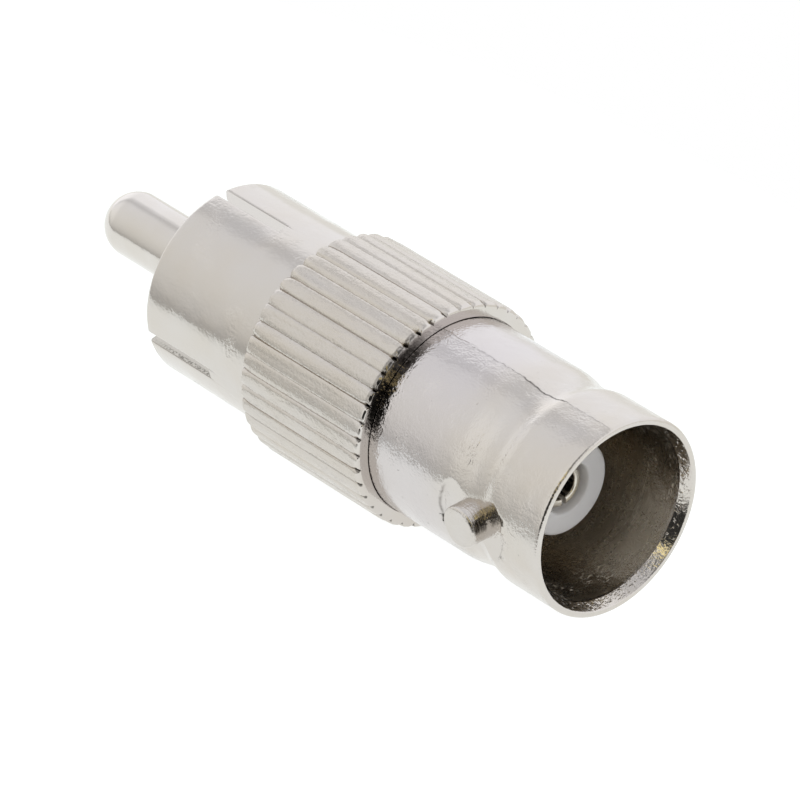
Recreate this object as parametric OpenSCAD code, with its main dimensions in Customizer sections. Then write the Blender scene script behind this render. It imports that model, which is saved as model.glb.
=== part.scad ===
// Coaxial adapter with a bayonet jack at one end and a phono plug at the other, joined by a knurled body.
// It lies on the knurl: the jack's mouth faces +X, the plug's pin -X, the lugs are on Y and +Z is up.
// Places along the axis are depths, counted from the mouth's face towards the pin.

/* [Bayonet barrel] */
// Outer diameter at the mouth and behind the neck
barrel_d = 9.65; // [9.45:0.05:10]
// Depth of the shoulder at the barrel's rear end
barrel_len = 11.4; // [11.2:0.1:13]
// Chamfer of the mouth's outer edge
mouth_edge = 0.18; // [0.05:0.01:0.25]
// Diameter of the countersink at the mouth
countersink_d = 8.95; // [8.6:0.05:9.1]
// Depth of the countersink
countersink_depth = 0.55; // [0.3:0.05:1]
// Diameter of the wide front part of the bore
front_bore_d = 8.5; // [8.35:0.05:8.55]
// Depth at which the bore begins to narrow
front_bore_depth = 4.7; // [4:0.1:6]
// Diameter of the rest of the bore, which takes the mating sleeve
bore_d = 8.1; // [7.6:0.05:8.3]
// Depth of the bore
bore_depth = 8.4; // [7.6:0.1:9]
// Depth at which the neck begins
neck_start = 3; // [2.4:0.05:3.2]
// Length of the neck from edge to edge
neck_len = 2.65; // [2.4:0.05:3.2]
// Diameter of the neck's floor
neck_d = 9.18; // [8.8:0.02:9.4]
// Length of the slope at each end of the neck
neck_slope = 0.45; // [0.1:0.05:0.5]
// Thickness of the web at the bottom of the bore
barrel_web = 2; // [1.2:0.1:2.4]
// Diameter of the spigot that is pressed into the knurled body
spigot_d = 9.26; // [8.8:0.02:9.4]
// Length of the spigot behind the shoulder
spigot_len = 4.6; // [3:0.1:6]
// Chamfer of the shoulder's edge and of the spigot's end
spigot_edge = 0.15; // [0.05:0.01:0.2]

/* [Bayonet lugs] */
// Diameter of each lug
lug_d = 2; // [1.6:0.05:2.2]
// Distance across the tips of the two lugs
lug_span = 11; // [10.6:0.05:11.2]
// Chamfer of a lug's tip
lug_edge = 0.15; // [0.05:0.01:0.3]
// Diameter of the flat that is faced round each lug
spot_d = 4.1; // [3:0.1:4.6]
// How far that flat is sunk below the neck's floor
spot_sink = 0.04; // [0.02:0.01:0.1]

/* [Knurled body] */
// Diameter over the ridges of the knurl
knurl_d = 11.1; // [10.8:0.05:13]
// Length of the knurl
knurl_len = 8; // [7:0.1:12]
// Number of grooves in the knurl
groove_count = 42; // [30:2:50]
// Width of a groove at its mouth
groove_w = 0.3; // [0.15:0.05:0.45]
// Depth of a groove
groove_depth = 0.22; // [0.1:0.02:0.4]
// How far a ridge's middle stands above its edges
ridge_crown = 0.05; // [0.02:0.01:0.08]
// Chamfer of the knurl's edge next to the barrel
knurl_front_edge = 0.3; // [0.05:0.05:0.4]
// Chamfer of the knurl's edge next to the plug
knurl_rear_edge = 0.1; // [0.05:0.05:0.5]
// How far the barrel's shoulder is sunk into the knurled body
seat_len = 0.4; // [0.2:0.05:0.8]
// Radial gap that shows round the sunk shoulder
seat_gap = 0.09; // [0.05:0.01:0.15]
// Thickness of the inner web that the spigot is seated on
body_web = 1; // [0.8:0.1:1.5]

/* [Plug shell] */
// Outer diameter of the slotted shell
shell_d = 9.62; // [9.2:0.02:10.4]
// Length of the shell behind the knurl
shell_len = 7.5; // [6:0.1:9]
// Inside diameter of the shell
shell_bore_d = 8.25; // [7.8:0.05:8.6]
// Chamfer of the shell's free end, outside and inside
shell_edge = 0.1; // [0.05:0.01:0.25]
// Width of the saw cuts in the shell
slot_w = 0.6; // [0.3:0.05:1]
// Length of the saw cuts
slot_len = 4.4; // [2:0.1:5]
// Angle between the two saw cuts, the first of which stands upright
slot_angle = 78.5; // [60:0.5:120]

/* [Plug pin] */
// Diameter of the pin
pin_d = 3.2; // [2.8:0.05:3.4]
// How far the pin's round tip stands out of the shell
pin_reach = 7.9; // [6:0.1:10]
// Diameter of the pin's shank in its insulator
pin_shank_d = 3.6; // [3.5:0.05:3.9]
// Diameter of the pin's head
pin_head_d = 4.4; // [4.1:0.05:5]
// Length of the pin's head
pin_head_len = 0.8; // [0.5:0.1:1.2]

/* [Insulators] */
// Depth of the jack insulator's face
face_depth = 3.17; // [2.8:0.01:3.6]
// Diameter of the jack insulator's sleeve
sleeve_d = 4.6; // [4.4:0.05:4.9]
// Rounding of the sleeve's edge
sleeve_edge = 0.15; // [0.05:0.01:0.3]
// Diameter of the jack insulator's thick rear part
flange_d = 7.2; // [6.6:0.05:7.6]
// Diameter of the recess round the contact
recess_d = 2.5; // [2.3:0.05:2.9]
// Depth of that recess
recess_depth = 0.9; // [0.4:0.1:1.6]
// Thickness of the plug insulator's disc
disc_len = 1.5; // [0.8:0.1:2.5]
// Diameter of the plug insulator's boss
boss_d = 6.4; // [5.4:0.1:6.8]

/* [Socket contact] */
// Outer diameter of the contact
contact_d = 2.1; // [1.9:0.05:2.2]
// How far the contact's end lies behind the insulator's face
contact_recess = 0.3; // [0.1:0.05:0.6]
// Diameter of the contact's bore
contact_bore_d = 1.35; // [1.3:0.01:1.45]
// Depth of the contact's bore
contact_bore_depth = 5.5; // [4.8:0.1:7]
// Width of the saw cut across the contact's end
contact_slot_w = 0.25; // [0.15:0.05:0.3]
// Length of that saw cut
contact_slot_len = 4; // [2:0.1:4.6]
// Diameter of the collar at the contact's rear
collar_d = 3.2; // [2.6:0.05:3.6]
// Length of that collar
collar_len = 1; // [0.6:0.1:1.6]
// Diameter of the tail that is pressed into the pin
tail_d = 1.6; // [1.2:0.05:1.8]
// Length of the tail
tail_len = 3; // [2:0.1:4]

/* [Fits] */
// Radial gap between pieces that are pressed together
press_gap = 0.01; // [0.005:0.005:0.02]
// Radial gap between pieces that slide together
slide_gap = 0.03; // [0.01:0.01:0.05]
// Free depth at the end of the tail's hole
tail_gap = 0.2; // [0.1:0.1:0.5]

/* [Hidden] */
$fn = 96;
// How far a cut runs past the face it opens
past = 1;

barrel_r = barrel_d / 2;
neck_r = neck_d / 2;
spigot_r = spigot_d / 2;
knurl_r = knurl_d / 2;
pin_r = pin_d / 2;

// Depths along the axis
neck_end = neck_start + neck_len;
lug_depth = neck_start + neck_len / 2;
narrow_depth = front_bore_depth + (front_bore_d - bore_d) / 2;
bore_end = bore_depth + barrel_web;
knurl_start = barrel_len - seat_len;
knurl_end = knurl_start + knurl_len;
spigot_end = barrel_len + spigot_len;
web_end = spigot_end + body_web;
disc_end = web_end + disc_len;
shell_end = knurl_end + shell_len;
pin_end = shell_end + pin_reach;
contact_start = face_depth + contact_recess;

// Angle from one groove of the knurl to the next, and from a groove's bottom to its edge
groove_pitch = 360 / groove_count;
half_groove = asin(groove_w / 2 / knurl_r);

// The adapter rests on the two ridges beside its lowest groove, on their middles or on their edges
axis_z = max(knurl_r * cos(groove_pitch / 2), (knurl_r - ridge_crown) * cos(half_groove));
mouth_x = pin_end / 2;

nickel = [0.79, 0.77, 0.75];
bright_nickel = [0.84, 0.83, 0.81];
bronze = [0.80, 0.72, 0.55];
white_plastic = [0.90, 0.91, 0.91];
grey_plastic = [0.78, 0.78, 0.76];

// Turns a piece that is built upwards from the mouth, with its local X as the top, onto the adapter's axis
module on_axis() {
    translate([mouth_x, 0, axis_z])
        rotate([0, -90, 0])
            children();
}

// A round cut or rod of one diameter between two depths
module stretch(d, from, to) {
    translate([0, 0, from])
        cylinder(h = to - from, d = d);
}

// A cone that opens from one diameter to another between two depths
module cone(d_from, d_to, from, to) {
    translate([0, 0, from])
        cylinder(h = to - from, d1 = d_from, d2 = d_to);
}

// Outside of the barrel, with its neck, shoulder and spigot
module barrel_outline() {
    rotate_extrude()
        polygon([
            [0, 0],
            [barrel_r - mouth_edge, 0],
            [barrel_r, mouth_edge],
            [barrel_r, neck_start],
            [neck_r, neck_start + neck_slope],
            [neck_r, neck_end - neck_slope],
            [barrel_r, neck_end],
            [barrel_r, barrel_len - spigot_edge],
            [barrel_r - spigot_edge, barrel_len],
            [spigot_r, barrel_len],
            [spigot_r, spigot_end - spigot_edge],
            [spigot_r - spigot_edge, spigot_end],
            [0, spigot_end]
        ]);
}

// Puts a child that stands along Z on each side of the barrel, at the lugs' depth
module at_each_lug() {
    for (side = [0, 180])
        rotate([0, 0, side])
            translate([0, 0, lug_depth])
                rotate([-90, 0, 0])
                    children();
}

// One lug, standing on the barrel's wall
module lug() {
    root = (front_bore_d + neck_d) / 4;
    tip = lug_span / 2;
    stretch(lug_d, root, tip - lug_edge);
    cone(lug_d, lug_d - 2 * lug_edge, tip - lug_edge, tip);
}

module bnc_barrel() {
    color(nickel)
        on_axis()
            difference() {
                union() {
                    difference() {
                        barrel_outline();
                        at_each_lug()
                            stretch(spot_d, neck_r - spot_sink, barrel_r + past);
                    }
                    at_each_lug()
                        lug();
                }
                cone(countersink_d, front_bore_d, 0, countersink_depth);
                stretch(front_bore_d, -past, front_bore_depth);
                cone(front_bore_d, bore_d, front_bore_depth, narrow_depth);
                stretch(bore_d, front_bore_depth, bore_depth);
                stretch(sleeve_d + 2 * slide_gap, 0, spigot_end);
                stretch(flange_d + 2 * press_gap, bore_end, spigot_end + past);
            }
}

// A point of the knurl's outline, at a radius and at an angle from the groove under the adapter
function knurl_point(r, angle) = [-r * cos(angle), r * sin(angle)];

// Knurled grip: crowned ridges between straight V grooves, with a chamfer at each end
module knurl() {
    intersection() {
        translate([0, 0, knurl_start])
            linear_extrude(knurl_len)
                polygon([
                    for (i = [0 : groove_count - 1])
                        each [
                            knurl_point(knurl_r - groove_depth, i * groove_pitch),
                            knurl_point(knurl_r - ridge_crown, i * groove_pitch + half_groove),
                            knurl_point(knurl_r, (i + 0.5) * groove_pitch),
                            knurl_point(knurl_r - ridge_crown, (i + 1) * groove_pitch - half_groove)
                        ]
                ]);
        rotate_extrude()
            polygon([
                [0, knurl_start],
                [knurl_r - knurl_front_edge, knurl_start],
                [knurl_r + past, knurl_start + knurl_front_edge + past],
                [knurl_r + past, knurl_end - knurl_rear_edge - past],
                [knurl_r - knurl_rear_edge, knurl_end],
                [0, knurl_end]
            ]);
    }
}

// Outside of the plug's shell
module shell_outline() {
    stretch(shell_d, spigot_end, shell_end - shell_edge);
    cone(shell_d, shell_d - 2 * shell_edge, shell_end - shell_edge, shell_end);
}

// The two saw cuts that make the shell spring
module shell_slots() {
    for (angle = [0, slot_angle])
        rotate([0, 0, angle])
            translate([-shell_d, -slot_w / 2, shell_end - slot_len])
                cube([2 * shell_d, slot_w, slot_len + past]);
}

module knurled_body() {
    color(nickel)
        on_axis()
            difference() {
                union() {
                    knurl();
                    shell_outline();
                }
                stretch(barrel_d + 2 * seat_gap, knurl_start - past, barrel_len + slide_gap);
                stretch(spigot_d + 2 * press_gap, knurl_start - past, spigot_end);
                stretch(boss_d + 2 * press_gap, knurl_start, shell_end);
                stretch(shell_bore_d, web_end, shell_end + past);
                cone(shell_bore_d, shell_bore_d + 2 * shell_edge, shell_end - shell_edge, shell_end);
                shell_slots();
            }
}

module bnc_insulator() {
    color(white_plastic)
        on_axis()
            difference() {
                union() {
                    cone(sleeve_d - 2 * sleeve_edge, sleeve_d, face_depth, face_depth + sleeve_edge);
                    stretch(sleeve_d, face_depth + sleeve_edge, spigot_end);
                    stretch(flange_d, bore_end, spigot_end);
                }
                stretch(recess_d, face_depth - past, face_depth + recess_depth);
                stretch(contact_d + 2 * slide_gap, face_depth, spigot_end);
                stretch(collar_d + 2 * slide_gap, spigot_end - collar_len, spigot_end + past);
            }
}

module rca_insulator() {
    color(grey_plastic)
        on_axis()
            difference() {
                union() {
                    stretch(boss_d, spigot_end, web_end);
                    stretch(shell_bore_d - 2 * press_gap, web_end, disc_end);
                }
                stretch(pin_shank_d + 2 * press_gap, spigot_end - past, disc_end + past);
                stretch(pin_head_d + 2 * slide_gap, spigot_end - past, spigot_end + pin_head_len);
            }
}

module socket_contact() {
    color(bronze)
        on_axis()
            difference() {
                union() {
                    stretch(contact_d, contact_start, spigot_end - collar_len);
                    stretch(collar_d, spigot_end - collar_len, spigot_end);
                    stretch(tail_d, spigot_end, spigot_end + tail_len);
                }
                stretch(contact_bore_d, contact_start - past, contact_start + contact_bore_depth);
                translate([-contact_d, -contact_slot_w / 2, contact_start - past])
                    cube([2 * contact_d, contact_slot_w, contact_slot_len + past]);
            }
}

module rca_pin() {
    color(bright_nickel)
        on_axis()
            difference() {
                union() {
                    stretch(pin_head_d, spigot_end, spigot_end + pin_head_len);
                    stretch(pin_shank_d, spigot_end, disc_end);
                    stretch(pin_d, disc_end, pin_end - pin_r);
                    translate([0, 0, pin_end - pin_r])
                        sphere(d = pin_d);
                }
                stretch(tail_d + 2 * press_gap, spigot_end - past, spigot_end + tail_len + tail_gap);
            }
}

bnc_barrel();
knurled_body();
bnc_insulator();
rca_insulator();
socket_contact();
rca_pin();
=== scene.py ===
"""Looks of a coaxial adapter: a bayonet jack and a slotted phono plug on one knurled body, in nickel plate.

Every piece is a surface turned about the adapter's axis. A place on it is a depth from the jack's mouth,
a radius from the axis, and an angle that is 0 at the top and grows towards +Y. Paths and materials are
worked out in millimetres; settings and meshes are in metres.
"""

import bpy
import numpy as np
from bpy.props import FloatProperty, FloatVectorProperty, IntProperty, PointerProperty
from mathutils import Matrix, Vector


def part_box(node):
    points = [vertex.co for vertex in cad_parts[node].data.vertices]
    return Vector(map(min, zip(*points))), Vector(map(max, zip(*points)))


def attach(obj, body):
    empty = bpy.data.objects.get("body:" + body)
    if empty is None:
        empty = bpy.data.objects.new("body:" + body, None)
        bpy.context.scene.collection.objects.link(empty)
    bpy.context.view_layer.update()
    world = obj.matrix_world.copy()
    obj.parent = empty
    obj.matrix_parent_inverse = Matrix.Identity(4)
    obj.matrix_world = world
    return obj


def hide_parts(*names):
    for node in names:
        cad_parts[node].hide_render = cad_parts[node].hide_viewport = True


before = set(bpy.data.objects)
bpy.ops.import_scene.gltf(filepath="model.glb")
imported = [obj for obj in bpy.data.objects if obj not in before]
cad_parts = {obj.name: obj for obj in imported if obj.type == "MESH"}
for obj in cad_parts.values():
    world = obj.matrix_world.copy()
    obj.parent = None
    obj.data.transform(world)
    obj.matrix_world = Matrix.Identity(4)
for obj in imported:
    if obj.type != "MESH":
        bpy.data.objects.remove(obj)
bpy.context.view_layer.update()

bl_info = {
    "name": "Coaxial adapter",
    "version": (1, 0, 0),
    "blender": (4, 5, 0),
    "location": "View3D > Sidebar > Adapter",
    "description": "Builds a nickel-plated adapter from a bayonet jack to a phono plug, and its studio",
    "category": "Add Mesh",
}

MM = 0.001
FULL_TURN = 2 * np.pi
MOUTH_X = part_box("bnc_barrel")[1].x
AXIS_Z = sum(corner.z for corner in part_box("rca_pin")) / 2
FULL_DEPTH = MOUTH_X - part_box("rca_pin")[0].x

# Depths at which the pieces meet inside, in millimetres
FLANGE_START = 10.4
COLLAR_START = 15
WEB_START = 16
PIN_HEAD_END = 16.8
WEB_END = 17
DISC_END = 18.5
TAIL_END = 19
TAIL_HOLE_END = 19.2

# Radii at which they meet, in millimetres; a hole is a little wider than what it holds
NEAR_AXIS = 0.05
TAIL_R, TAIL_HOLE_R = 0.8, 0.81
CONTACT_HOLE_R = 1.08
COLLAR_R, COLLAR_HOLE_R = 1.6, 1.63
PIN_ROOT_R, PIN_ROOT_HOLE_R = 1.8, 1.81
PIN_HEAD_R, PIN_HEAD_HOLE_R = 2.2, 2.23
SLEEVE_HOLE_R = 2.33
WEB_HOLE_R = 3.21
FLANGE_HOLE_R = 3.61
DISC_R = 4.115
SPIGOT_HOLE_R = 4.64

# The lugs' place along X in millimetres, and the way across the axis, in Y and Z, to the bore's paler strip
# of painted light
LUG_DEPTH = 4.325
LUG_X = MOUTH_X / MM - LUG_DEPTH
LIT_STRIP_WAY = (0.688, -0.726)

SHARP_ANGLE = np.radians(35)
SAME_PLACE = 1e-8
KNURL_SEED = 7

# The camera's sensor in millimetres, its right and down, and its place from the mouth's middle in millimetres
SENSOR_WIDTH = 36
CAMERA_RIGHT = (0.6625, 0.7485, -0.0282)
CAMERA_DOWN = (0.4076, -0.3919, -0.8248)
CAMERA_FROM_MOUTH = (179.98, -165.45, 173.87)

WHITE = (1, 1, 1, 1)
BLACK = (0, 0, 0, 1)


def size(name, description, millimetres):
    """A length that a user can change, given in millimetres and kept in metres."""
    return FloatProperty(name=name, description=description, default=millimetres * MM,
                         unit="LENGTH", subtype="DISTANCE", precision=5)


def share(name, description, default):
    """A plain number from 0 to 1."""
    return FloatProperty(name=name, description=description, default=default, min=0, max=1, subtype="FACTOR")


def tint(name, description, default):
    """A linear colour."""
    return FloatVectorProperty(name=name, description=description, default=default, min=0, max=1,
                               size=3, subtype="COLOR")


class BarrelSettings(bpy.types.PropertyGroup):
    """Sizes of the bayonet barrel and its lugs."""

    outer_d: size("Outer diameter", "Barrel at the mouth and behind the neck", 9.65)
    length: size("Length", "Depth of the shoulder at the barrel's rear", 11.4)
    mouth_edge: size("Mouth edge", "Rounding of the mouth's outer edge", 0.18)
    countersink_d: size("Countersink diameter", "Countersink at the mouth", 9.04)
    countersink_depth: size("Countersink depth", "Depth of the countersink", 0.55)
    front_bore_d: size("Front bore diameter", "Wide front part of the bore", 8.5)
    front_bore_depth: size("Front bore depth", "Depth at which the bore begins to narrow", 4.7)
    bore_taper: size("Bore taper", "Length over which the bore narrows", 2.6)
    bore_d: size("Bore diameter", "Rest of the bore, which takes the mating sleeve", 8.1)
    bore_depth: size("Bore depth", "Depth of the bore", 8.4)
    neck_start: size("Neck start", "Depth of the middle of the neck's front slope", 3.475)
    neck_length: size("Neck length", "Length of the neck between the middles of its slopes", 1.7)
    neck_d: size("Neck diameter", "Floor of the neck", 9.22)
    neck_slope: size("Neck slope", "Length of the soft slope at the neck's front", 0.6)
    neck_rise: size("Neck rise", "Length of the soft slope at the neck's rear", 0.9)
    spigot_d: size("Spigot diameter", "Spigot pressed into the knurled body", 9.26)
    lug_d: size("Lug diameter", "Each bayonet lug", 2.0)
    lug_span: size("Lug span", "Distance across the tips of the lugs", 11.0)
    spot_d: size("Spot face diameter", "Flat faced round each lug", 4.1)
    spot_sink: size("Spot face sink", "How far that flat is sunk below the neck's floor", 0.06)


class BodySettings(bpy.types.PropertyGroup):
    """Sizes of the knurled body and the plug's shell."""

    knurl_d: size("Knurl diameter", "Diameter over the ridges", 11.09)
    knurl_start: size("Knurl start", "Depth of the knurl's front face", 11.0)
    knurl_length: size("Knurl length", "Length of the knurl", 8.0)
    grooves: IntProperty(name="Grooves", description="Number of grooves in the knurl", default=42, min=12)
    groove_w: size("Groove width", "Distance in which a groove's side rises by two thirds", 0.07)
    groove_depth: size("Groove depth", "Depth of a groove", 0.06)
    ridge_crown: size("Ridge crown", "How far a ridge's middle stands above its edges", 0.03)
    ridge_lean: size("Ridge lean", "How far a ridge's one edge may stand above its other", 0.04)
    front_edge: size("Front edge", "Rounding next to the barrel", 0.25)
    rear_edge: size("Rear edge", "Chamfer next to the plug", 0.1)
    seat_d: size("Seat diameter", "Recess in the knurl's front that the barrel is sunk into", 9.71)
    seat_end: size("Seat end", "Depth of that recess's floor", 11.43)
    shell_d: size("Shell diameter", "Outside of the slotted shell", 9.62)
    shell_bore_d: size("Shell bore", "Inside of the slotted shell", 8.25)
    shell_end: size("Shell end", "Depth of the shell's free end", 26.5)
    shell_edge: size("Shell edge", "Chamfer of the shell's free end", 0.1)
    slot_w: size("Slot width", "Width of the saw cuts", 0.6)
    slot_length: size("Slot length", "Length of the saw cuts", 4.4)
    slot_angle: FloatProperty(name="Slot angle", description="Angle between the two saw cuts",
                              default=float(np.radians(78.5)), subtype="ANGLE", unit="ROTATION")


class InsertSettings(bpy.types.PropertyGroup):
    """Sizes of the insulators, the socket contact and the plug's pin."""

    face_depth: size("Face depth", "Depth of the jack insulator's face", 3.17)
    sleeve_d: size("Sleeve diameter", "Jack insulator's sleeve", 4.6)
    flange_d: size("Flange diameter", "Jack insulator's thick rear part", 7.2)
    recess_d: size("Recess diameter", "Recess round the contact", 2.5)
    recess_depth: size("Recess depth", "Depth of that recess", 0.9)
    boss_d: size("Boss diameter", "Plug insulator's boss", 6.4)
    contact_d: size("Contact diameter", "Outside of the socket contact", 2.1)
    contact_start: size("Contact start", "Depth of the contact's end", 3.47)
    contact_bore_d: size("Contact bore", "Bore of the contact", 1.35)
    contact_slot_w: size("Contact slot", "Saw cut across the contact's end", 0.25)
    pin_d: size("Pin diameter", "Plug's pin", 3.2)


class FinishSettings(bpy.types.PropertyGroup):
    """Colours and gloss of the plating and the plastics."""

    nickel: tint("Nickel", "Plating where it is clean", (0.615, 0.58, 0.55))
    warm: tint("Warm nickel", "Plating where it has yellowed", (0.60, 0.55, 0.49))
    cool: tint("Cool nickel", "Plating of the barrel's rear", (0.61, 0.575, 0.575))
    tarnish: tint("Tarnish", "Plating deep in the bore", (0.525, 0.47, 0.39))
    # Painted light: a paler strip low on the bore's +Y side
    bore_painted_light: tint("Rubbed bore", "Strip of the bore that plugs have rubbed", (0.68, 0.62, 0.53))
    grime: tint("Grime", "Dull spots of the knurl", (0.47, 0.435, 0.395))
    # Painted golden glints on the lugs' front
    gold_glint_tint: tint("Brass", "Flecks where the plating is rubbed through", (0.72, 0.63, 0.36))
    # Painted glints: bright flecks in the bore
    painted_glint: tint("Flecks", "Bright burrs in the bore", (0.95, 0.86, 0.72))
    pin: tint("Pin", "Plating of the plug's pin", (0.66, 0.625, 0.595))
    # Dark colour of pits and of the countersink's specks, and of painted shade and painted dark reflections
    soot_and_shade: tint("Soot", "Pits, the parting line and the dark of the joint", (0.07, 0.06, 0.05))
    # Paler plating in the saw cuts and inside the shell: partly their own tone, partly painted light against
    # their shade
    sawn_and_lit: tint("Sawn plating", "Plating in the shell's saw cuts", (0.74, 0.71, 0.68))
    white: tint("White plastic", "Jack insulator", (0.795, 0.78, 0.77))
    grey: tint("Grey plastic", "Plug insulator", (0.57, 0.57, 0.54))
    contact: tint("Contact", "Plated spring bronze", (0.62, 0.58, 0.51))
    cast_roughness: share("Cast roughness", "Roughness of the barrel's plating", 0.19)
    turned_roughness: share("Turned roughness", "Roughness of the body's plating", 0.14)


class StudioSettings(bpy.types.PropertyGroup):
    """Camera and light."""

    lens: FloatProperty(name="Lens", description="Focal length on a 36 mm sensor, in millimetres",
                        default=308.6)
    floor_width: size("Floor width", "Half length of the pale oval table under the adapter", 58.0)
    floor_depth: size("Floor depth", "Half depth of that table", 29.0)
    floor_glow: share("Floor glow", "Light that the table gives to the camera and to reflections", 0.9)


# Surfaces


def rounded_path(corners, closed, bends=6):
    """Line through corners (depth, radius, rounding, step), in metres.

    Each corner becomes a parabola that leaves its two sides at the rounding's distance, and the side after it
    is cut into pieces no longer than the step.
    """
    table = np.array(corners, float) * MM
    points, back, step = table[:, :2], table[:, 2:3], table[:, 3]
    slack = 1e-6

    def towards(other):
        way = other - points
        return way / np.linalg.norm(way, axis=1, keepdims=True)

    start = points + back * towards(np.roll(points, 1, 0))
    end = points + back * towards(np.roll(points, -1, 0))
    u = np.linspace(0, 1, bends + 1)[:, None]
    parts = []
    for k in range(len(points)):
        bend = (1 - u) ** 2 * start[k] + 2 * u * (1 - u) * points[k] + u ** 2 * end[k]
        parts.append(bend if back[k, 0] > 0 else points[k:k + 1])
        if closed or k + 1 < len(points):
            side = start[(k + 1) % len(points)] - end[k]
            pieces = max(1, int(np.ceil(np.linalg.norm(side) / step[k] - slack)))
            parts.append(end[k] + side * np.linspace(0, 1, pieces + 1)[1:-1, None])
    return np.vstack(parts)


def circle(columns):
    """Angles of so many columns, evenly all the way round."""
    return np.linspace(0, FULL_TURN, columns, endpoint=False)


def turned(depth, radius, angle):
    """Points of a turned surface: along -X by the depth, and round the axis at the radius and the angle."""
    depth, radius, angle = np.broadcast_arrays(depth, radius, angle)
    return np.stack([MOUTH_X - depth, radius * np.sin(angle), AXIS_Z + radius * np.cos(angle)], -1)


def lattice(rows, columns, closed):
    """Corner numbers of the quads of a grid of rings; the last row joins the first where it is closed."""
    i = np.arange(rows if closed else rows - 1)[:, None]
    j = np.arange(columns)[None, :]
    on = (j + 1) % columns
    row, row_up = i * columns, (i + 1) % rows * columns
    quads = np.stack(np.broadcast_arrays(row + j, row + on, row_up + on, row_up + j), -1)
    return quads.reshape(-1, 4)


def pole(ring, tip, first):
    """Triangles from a ring of corner numbers to the pole at its first or last end."""
    on = np.roll(ring, -1)
    tip = np.full_like(ring, tip)
    return np.stack([tip, on, ring] if first else [ring, on, tip], -1)


def slot_columns(angle, centres, half):
    """Each saw cut as (centre, left, right): its angle, and the columns nearest to its two sides."""
    def nearest(wanted):
        return int(np.argmin(np.abs(angle - wanted)))

    return [(centre, nearest(centre - half), nearest(centre + half)) for centre in centres]


def slot_warp(angle, slots, width, easing, reach):
    """Columns of a ring of radius reach, with those at a slot's two sides moved onto its walls and those
    next to them close by."""
    half, near, spread = np.arcsin(width / 2 / reach), easing / reach, 0.25
    given, wanted = [angle[0]], [angle[0]]
    for centre, left, right in slots:
        given += [centre - spread, angle[left - 1], angle[left],
                  angle[right], angle[right + 1], centre + spread]
        wanted += [centre - spread, centre - half - near, centre - half,
                   centre + half, centre + half + near, centre + spread]
    return np.interp(angle, given + [angle[-1]], wanted + [angle[-1]])


def slotted_lattice(rows, columns, closed, first, last, slots):
    """Corner numbers of the quads of a grid of rings with saw cuts, and of the cuts' walls. Rows first and
    last lie opposite each other on the two faces of the grid, at the cuts' closed end, and the rows between
    them pair off towards the open end."""
    count = (last - first) // 2
    out = first + np.arange(count + 1)
    back = last - np.arange(count + 1)
    keep = np.ones((rows if closed else rows - 1, columns), bool)
    walls = []
    for _, left, right in slots:
        keep[first:last, left:right] = False
        ladder = np.stack([back[:-1], back[1:], out[1:], out[:-1]], -1) * columns
        across = np.arange(left, right)
        floor = np.stack([last * columns + across, first * columns + across,
                          first * columns + across + 1, last * columns + across + 1], -1)
        walls += [ladder + left, (ladder + right)[:, ::-1], floor]
    return np.vstack([lattice(rows, columns, closed)[keep.ravel()], *walls])


def make_piece(name, points, quads, triangles, material, slot, marks=None):
    """Object of one mesh from arrays of points, quads and triangles, riding on the adapter if it has a slot.
    Each of the marks is an array with a number for every point, which the mesh keeps as an attribute."""
    points = np.asarray(points, np.float32).reshape(-1, 3)
    quads = np.asarray(quads, np.int32).reshape(-1, 4)
    triangles = np.asarray(triangles, np.int32).reshape(-1, 3)
    mesh = bpy.data.meshes.new(name)
    mesh.vertices.add(len(points))
    mesh.vertices.foreach_set("co", points.ravel())
    corners = np.concatenate([quads.ravel(), triangles.ravel()])
    mesh.loops.add(len(corners))
    mesh.loops.foreach_set("vertex_index", corners)
    starts = np.concatenate([4 * np.arange(len(quads)), 4 * len(quads) + 3 * np.arange(len(triangles))])
    mesh.polygons.add(len(starts))
    mesh.polygons.foreach_set("loop_start", starts.astype(np.int32))
    mesh.update(calc_edges=True)
    mesh.validate()
    for mark, values in (marks or {}).items():
        numbers = mesh.attributes.new(mark, "FLOAT", "POINT")
        numbers.data.foreach_set("value", values.astype(np.float32).ravel())
    mesh.polygons.foreach_set("use_smooth", np.ones(len(starts), bool))
    mesh.set_sharp_from_angle(angle=SHARP_ANGLE)
    mesh.materials.append(material)
    piece = bpy.data.objects.new(name, mesh)
    bpy.context.scene.collection.objects.link(piece)
    if slot:
        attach(piece, "root")
    return piece


def smooth_step(edge0, edge1, value):
    """0 before the first edge, 1 after the second, and an S-shaped cubic between them."""
    t = np.clip((value - edge0) / (edge1 - edge0), 0, 1)
    return t * t * (3 - 2 * t)


def soft_min(a, b, width):
    """The smaller of two arrays, with a parabola of that width where they meet."""
    near = np.clip(0.5 + 0.5 * (b - a) / width, 0, 1)
    return b + (a - b) * near - width * near * (1 - near)


def angle_from(angle, centre):
    """Signed angle from a centre, between half a turn either way."""
    return (angle - centre + np.pi) % FULL_TURN - np.pi


# Shader maths


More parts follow.
